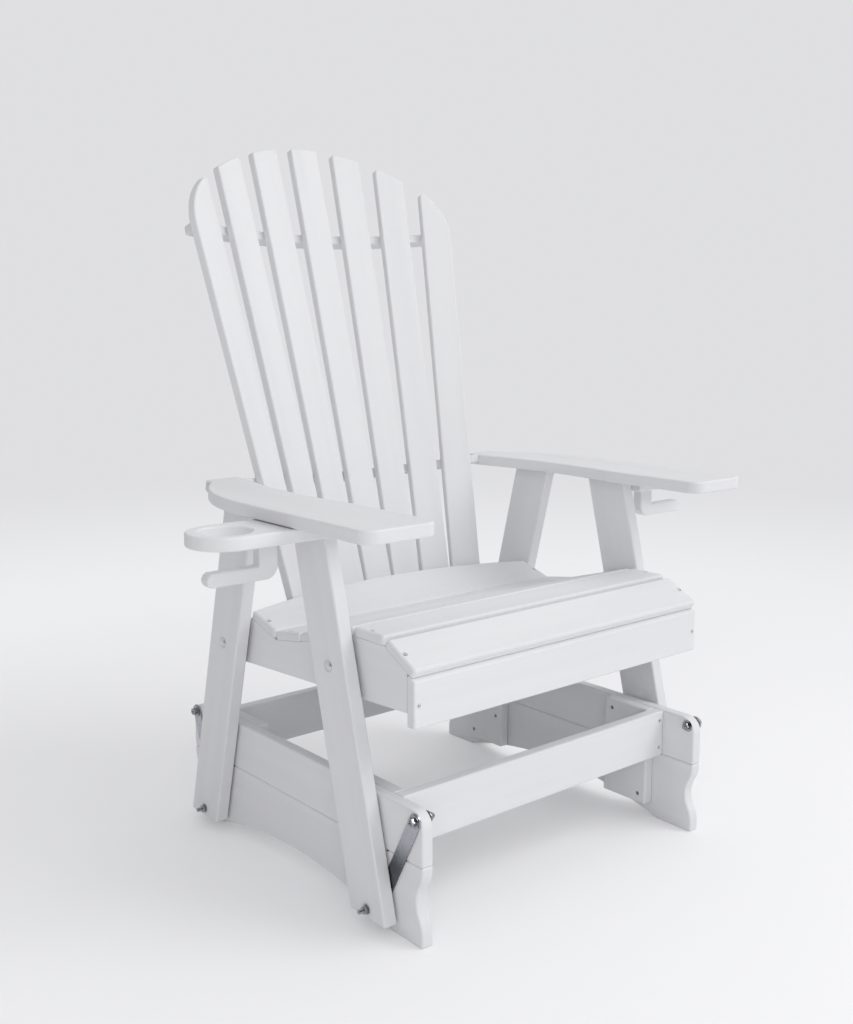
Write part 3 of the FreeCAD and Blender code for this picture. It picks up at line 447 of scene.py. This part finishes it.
def head_and_tip(points):
    """The middle of a fastener's head, and of its other end."""
    axis = long_way(points)
    reach = points @ axis
    aside = np.linalg.norm(points - points.mean(0) - np.outer(reach - reach.mean(), axis), axis=1)
    ends = [(aside[abs(reach - end) < HEAD_DEPTH].max(), tuple(points[abs(reach - end) < END_RIM].mean(0)))
            for end in (reach.min(), reach.max())]
    (_, tip), (_, head) = sorted(ends)
    return Vector(head), Vector(tip)


def long_fasteners(name):
    """Each screw's or bolt's head and the way that it goes in, and the length of all."""
    ends = [head_and_tip(points) for points in loose_solids(name)]
    head, tip = ends[0]
    return [(head, (tip - head).normalized()) for head, tip in ends], (tip - head).length / MM


def flat_fasteners(name):
    """Each nut's or washer's middle, and outward as its way."""
    middles = [Vector((points.min(0) + points.max(0)) / 2) for points in loose_solids(name)]
    return [(middle, Vector((math.copysign(1, middle.x), 0, 0))) for middle in middles]


for name in SCREWS:
    spots, length = long_fasteners(name)
    print("%-18s %2d of %.1f mm" % (name, len(spots), length))

# %% [markdown]
# ## Turning the shapes
#
# Every fastener is turned, apart from a hexagon here and a star there. So one function makes a skin over
# rings: a ring is a height and a radius, and the radius may differ for each angle. A hexagon's radius grows
# towards its corners, and a thread's ridge climbs as the angle goes round. Heights run from the top of the
# head inward.

# %% Rings to skin
TURN = 2 * math.pi
SEGMENTS = 36
ANGLES = np.arange(SEGMENTS) * TURN / SEGMENTS
CIRCLE = np.stack([np.cos(ANGLES), np.sin(ANGLES)], axis=-1)
SHARP = math.radians(32)


def skin(name, rings, loop=False):
    """A mesh over rings of points; a ring is a height and its outline, in millimetres."""
    count = len(rings[0][1])
    points = [(x * MM, y * MM, height * MM) for height, outline in rings for x, y in outline]
    spots = np.arange(len(points)).reshape(len(rings), count)
    lower = spots if loop else spots[:-1]
    upper = np.roll(spots, -1, axis=0)[:len(lower)]
    faces = np.stack([lower, np.roll(lower, -1, 1), np.roll(upper, -1, 1), upper], axis=-1).reshape(-1, 4)
    mesh = bpy.data.meshes.new(name)
    mesh.from_pydata(points, [], faces.tolist())
    tidy = bmesh.new()
    tidy.from_mesh(mesh)
    bmesh.ops.remove_doubles(tidy, verts=tidy.verts, dist=WELD)
    bmesh.ops.recalc_face_normals(tidy, faces=tidy.faces)
    tidy.to_mesh(mesh)
    tidy.free()
    mesh.shade_smooth()
    mesh.set_sharp_from_angle(angle=SHARP)
    return mesh


def turned(name, rings, loop=False):
    """A skin over rings that are given by a radius, or by a radius for each angle."""
    outlines = [(height, CIRCLE * np.broadcast_to(radius, SEGMENTS)[:, None]) for height, radius in rings]
    return skin(name, outlines, loop)


def thread(start, end, crest, root, pitch, rows, taper=0.0):
    """Rings of a screw thread, which may run out in a point."""
    rings = []
    for height in np.arange(start, end, pitch / rows):
        climb = (height / pitch - ANGLES / TURN) % 1.0
        ridge = np.clip(1.25 * (1 - abs(2 * climb - 1)), 0, 1)
        left = min(1.0, (end - height) / taper) if taper else 1.0
        rings.append((height, left * (root + (crest - root) * ridge)))
    return rings

# %% [markdown]
# ## Setting shapes in place with Geometry Nodes
#
# A shape that stands in many places is an instance on a point. Each point carries the way that its fastener
# goes in as an attribute; the tree turns the shape's Z axis into that way, gives it a random spin about it,
# as screws have when they are driven home, and makes the copies real, because an export can't keep instances.

# %% The tree
def placing_tree():
    tree = bpy.data.node_groups.new("set_in_place", "GeometryNodeTree")
    sockets = {}
    for label, kind in (("Geometry", "Geometry"), ("Shape", "Object"), ("Spin", "Float"), ("Seed", "Int"),
                        ("Finish", "Material")):
        socket = tree.interface.new_socket(label, in_out="INPUT", socket_type="NodeSocket" + kind)
        sockets[label] = socket.identifier
    tree.interface.new_socket("Geometry", in_out="OUTPUT", socket_type="NodeSocketGeometry")
    nodes = Nodes(tree)

    def given(label):
        return nodes.add("NodeGroupInput", output=label)

    way = nodes.add("GeometryNodeInputNamedAttribute", {"data_type": "FLOAT_VECTOR"}, {"Name": "way"})
    aimed = nodes.add("FunctionNodeAlignRotationToVector", {"axis": "Z"}, {"Vector": way})
    spin = nodes.add("FunctionNodeRandomValue", {"data_type": "FLOAT"},
                     {3: given("Spin"), "Seed": given("Seed")}, output=1)
    about = nodes.add("FunctionNodeAxisAngleToRotation", inputs={"Axis": (0, 0, 1), "Angle": spin})
    aimed = nodes.add("FunctionNodeRotateRotation", {"rotation_space": "LOCAL"},
                      {"Rotation": aimed, "Rotate By": about})
    shape = nodes.add("GeometryNodeObjectInfo", inputs={"Object": given("Shape")}, output="Geometry")
    copies = nodes.add("GeometryNodeInstanceOnPoints", inputs={
        "Points": given("Geometry"), "Instance": shape, "Rotation": aimed})
    solid = nodes.add("GeometryNodeRealizeInstances", inputs={"Geometry": copies})
    finished = nodes.add("GeometryNodeSetMaterial", inputs={"Geometry": solid, "Material": given("Finish")})
    nodes.add("NodeGroupOutput", inputs={"Geometry": finished})
    return tree, sockets


PLACING, PLACING_INPUTS = placing_tree()


def set_in_place(name, shape, spots, spin, seed, finish):
    """A piece with the shape in every spot."""
    points = bpy.data.meshes.new(name)
    points.from_pydata([place for place, _ in spots], [], [])
    ways = points.attributes.new("way", "FLOAT_VECTOR", "POINT")
    ways.data.foreach_set("vector", [n for _, way in spots for n in way])
    piece = bpy.data.objects.new(name, points)
    scene.collection.objects.link(piece)
    pattern = bpy.data.objects.new("pattern", shape)
    modifier = piece.modifiers.new("set_in_place", "NODES")
    modifier.node_group = PLACING
    for label, value in (("Shape", pattern), ("Spin", spin), ("Seed", seed), ("Finish", finish)):
        modifier[PLACING_INPUTS[label]] = value
    piece.update_tag()
    copies = piece.evaluated_get(bpy.context.evaluated_depsgraph_get())
    piece.data = bpy.data.meshes.new_from_object(copies)
    piece.modifiers.clear()
    bpy.data.objects.remove(pattern)
    return piece


def hand_over(piece, node):
    """The piece moves with its node's body and stands for the node."""
    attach(piece, body_of(NODES[node])[0])
    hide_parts(node)
    print("%-26s %6d faces" % (piece.name, len(piece.data.polygons)))


def fit_fasteners(node, shape, spots, spin, seed):
    """The finer shape in each of a node's spots, in place of the node."""
    piece = set_in_place("fine_" + node, shape, spots, spin, seed, hardware_finish(node))
    hand_over(piece, node)

# %% [markdown]
# ## Screws
#
# The boards are held by countersunk screws with a star recess, driven just below the surface. In the picture
# each is a small dot. The head is a cone, the recess a six-lobed pit, and the thread runs out in a point.

# %% Star screws
SCREW_HEAD, SCREW_NECK, SCREW_CREST, SCREW_ROOT = 4.0, 1.7, 2.1, 1.5
STAR, STAR_LOBE, STAR_DEPTH = 1.28, 0.22, 1.9
SCREW_PITCH, SCREW_POINT, THREAD_STARTS = 2.6, 6.0, 4.0


def star_screw(length):
    star = STAR + STAR_LOBE * np.cos(6 * ANGLES)
    head = [(STAR_DEPTH, 0.0), (STAR_DEPTH, 0.9 * star), (0.1, star), (0.0, star + 0.12),
            (0.0, SCREW_HEAD - 0.2), (0.2, SCREW_HEAD), (2.6, SCREW_NECK)]
    body = thread(THREAD_STARTS, length, SCREW_CREST, SCREW_ROOT, SCREW_PITCH, 4, taper=SCREW_POINT)
    return turned("star_screw", head + body + [(length, 0.0)])


for seed, name in enumerate(SCREWS):
    spots, length = long_fasteners(name)
    fit_fasteners(name, star_screw(length), spots, TURN, seed)

# %% [markdown]
# ## Bolts
#
# Two sorts: hex bolts with an indented head at the upper pivots, and bolts with a low smooth dome for the
# legs and arms. Both end in a fine thread. A hexagon is a circle cut by six flats, and the top of its head is
# turned to a cone, which is what gives a hex head its curved corners: each point takes the smaller radius.

# %% Hex and dome bolts
BOLT, THREAD_ROOT, PITCH = 3.95, 3.35, 1.411
HALF_FLATS = 6.35
THREADED = 24.0


def hexagon(chamfer):
    """Radius by angle of a hexagon, where a chamfer has gone this deep from its top."""
    flats = HALF_FLATS / np.cos((ANGLES + TURN / 12) % (TURN / 6) - TURN / 12)
    return np.minimum(flats, 0.95 * HALF_FLATS + chamfer * math.sqrt(3))


CHAMFER = (0.0, 0.2, 0.4, 0.6, 0.8)


def threaded_end(length):
    start = max(length - THREADED, 0.4 * length)
    return ([(start - 0.6, BOLT)] + thread(start, length - 0.9, BOLT, THREAD_ROOT, PITCH, 6)
            + [(length - 0.8, BOLT - 0.25), (length, THREAD_ROOT - 0.3), (length, 0.0)])


def hex_bolt(length, head):
    indent = [(2.6, 0.0), (2.5, 3.2), (0.3, 4.2), (0.0, 4.6)]
    sides = [(depth, hexagon(depth)) for depth in CHAMFER + (head,)]
    return turned("hex_bolt", indent + sides + [(head, BOLT)] + threaded_end(length))


def dome_bolt(length, radius, rise):
    dome = [((rise - 0.8) * share ** 3, share * (radius - 0.3)) for share in np.linspace(0, 1, 14)]
    rim = [(rise - 0.5, radius), (rise - 0.1, radius), (rise, radius - 0.1), (rise, BOLT)]
    return turned("dome_bolt", dome + rim + threaded_end(length))


HEX_HEAD = 6.8
DOMES = {"leg_bolts": (9.9, 4.4), "arm_bolts": (7.5, 3.4)}
spots, length = long_fasteners("upper_pivot_bolts")
fit_fasteners("upper_pivot_bolts", hex_bolt(length, HEX_HEAD), spots, TURN / 6, 21)
for seed, (name, (radius, rise)) in enumerate(DOMES.items()):
    spots, length = long_fasteners(name)
    fit_fasteners(name, dome_bolt(length, radius, rise), spots, TURN, 22 + seed)

# %% [markdown]
# ## Nuts, washers and spacers
#
# These are rings: the skin closes on itself instead of ending in a point. A nut's faces are chamfered on both
# sides, and its bore is a little wider than the bolt. Washers are stamped, so their rims are slightly round.
# The nuts on the links' studs are a slim kind, close against their washers.

# %% Nuts and rings
BORE = 4.15
SLIMMER = 1.2


def hex_nut(height):
    half = height / 2
    outside = [(depth - half, hexagon(depth)) for depth in CHAMFER]
    outside += [(half - depth, hexagon(depth)) for depth in reversed(CHAMFER)]
    bore = [(half, BORE + 0.5), (half - 0.5, BORE), (0.5 - half, BORE), (-half, BORE + 0.5)]
    return turned("hex_nut", outside + bore, loop=True)


def washer(radius, height, rim=0.3):
    half = height / 2
    outside = [(-half, radius - rim), (rim - half, radius), (half - rim, radius), (half, radius - rim)]
    inside = [(half, BORE + rim), (half - rim, BORE), (rim - half, BORE), (-half, BORE + rim)]
    return turned("washer", outside + inside, loop=True)


for seed, name in enumerate(FLAT_HARDWARE):
    spots = flat_fasteners(name)
    size = np.ptp(loose_solids(name)[0], axis=0) / MM
    if name.endswith("_link_nuts"):
        shape = hex_nut(size[0] - SLIMMER)
        spots = [(place - way * MM * SLIMMER / 2, way) for place, way in spots]
    elif name.endswith("_nuts"):
        shape = hex_nut(size[0])
    else:
        shape = washer(size[2] / 2, size[0])
    fit_fasteners(name, shape, spots, TURN / 6, 31 + seed)

# %% [markdown]
# ## Link bars
#
# A link is a flat bar with round ends. It hangs on the upper bolt and carries a threaded stud at its lower
# end, on which the leg turns. The bar is the same kind of skin as a washer, only its outline is two half
# circles and two straights, and each point of the hole lies on the line from its middle to the outline.

# %% Links
ARC_POINTS, SIDE_POINTS = 40, 24
EDGE = 0.4
BAR_WIDTH, BAR_THICK = 25.4, 3.2
STUD_ROOT, STUD_REACH = 1.0, 3.2


def bar_outline(half_width, length):
    """Round the upper end, down one side, round the lower end, and up the other side."""
    arc = np.linspace(0, math.pi, ARC_POINTS)
    upper = half_width * np.stack([np.cos(arc), np.sin(arc)], axis=-1)
    down = np.linspace(0, -length, SIDE_POINTS)[1:-1]
    left = np.stack([np.full(len(down), -half_width), down], axis=-1)
    lower = -upper - (0, length)
    right = -left - (0, length)
    return np.concatenate([upper, left, lower, right])


def placed_piece(name, mesh, place, node, finish):
    """A mesh set in its place and handed over for a node."""
    mesh.transform(place)
    mesh.materials.append(finish)
    piece = bpy.data.objects.new(name, mesh)
    scene.collection.objects.link(piece)
    hand_over(piece, node)


def link_bar(node, upper, lower):
    """A link's bar and its stud; heights run outward from the bar's inner face."""
    low, high = (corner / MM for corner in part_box(node))
    side = math.copysign(1, low.x)
    inner, outer = sorted((abs(low.x), abs(high.x)))
    length = (upper - lower).length / MM
    edge, inset = bar_outline(BAR_WIDTH / 2, length), bar_outline(BAR_WIDTH / 2 - EDGE, length)
    hole = edge / np.linalg.norm(edge, axis=1)[:, None]
    top = BAR_THICK
    outside = [(0, inset), (EDGE, edge), (top - EDGE, edge), (top, inset)]
    mouth, wall = (BORE + EDGE) * hole, BORE * hole
    bore = [(top, mouth), (top - EDGE, wall), (EDGE, wall), (0, mouth)]
    bar = skin(node + "_bar", outside + bore, loop=True)
    root = [(top - STUD_ROOT, 0.0), (top - STUD_ROOT, BOLT)]
    stud = turned(node + "_stud", root + threaded_end(outer - inner + STUD_REACH))

    up, outward = (upper - lower).normalized(), Vector((side, 0, 0))
    place = Matrix((up.cross(outward), up, outward)).transposed().to_4x4()
    place.translation = (side * inner * MM, upper.y, upper.z)
    placed_piece("fine_%s_bar" % node, bar, place, node, link_steel)
    place.translation = (side * inner * MM, lower.y, lower.z)
    placed_piece("fine_%s_stud" % node, stud, place, node, bolt_steel)


upper_pivots = [place for place, _ in flat_fasteners("upper_pivot_nuts")]
for end in ENDS:
    for place, _ in flat_fasteners(end + "_link_nuts"):
        pivot = min(upper_pivots, key=lambda spot: (spot - place).length)
        node = "%s_%s_link" % (end, SIDES[place.x > 0])
        link_bar(node, Vector((0, pivot.y, pivot.z)), Vector((0, place.y, place.z)))

# %% [markdown]
# ## Seam pins
#
# Each side panel is two boards, and small dark pins sit on the seam between them, almost flush. They are too
# small for solids of their own, so they are made here: a flat head and a short shank, set in place by the
# same tree. They ride on the base and stand for no node.

# %% Pins on the panels' seams
PIN_PLACES = (-0.3086, -0.2621, 0.2039)
PIN_HEAD, PIN_SHANK, PIN_DEPTH, PIN_PROUD = 1.7, 1.0, 9.0, 0.12

head = [(0.0, 0.0), (0.0, PIN_HEAD - 0.3), (0.08, PIN_HEAD), (0.6, PIN_HEAD)]
shank = [(0.9, PIN_SHANK), (PIN_DEPTH - 1, PIN_SHANK), (PIN_DEPTH, 0.0)]
pin = turned("seam_pin", head + shank)
spots = []
for side, inward in zip(SIDES, (1, -1)):
    low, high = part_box("base_%s_upper_board" % side)
    outside = (low.x if inward > 0 else high.x) - inward * PIN_PROUD * MM
    spots += [(Vector((outside, y, low.z)), Vector((inward, 0, 0))) for y in PIN_PLACES]
pins = set_in_place("seam_pins", pin, spots, TURN, 41, screw_steel)
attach(pins, "base")
print("seam pins:", len(spots))
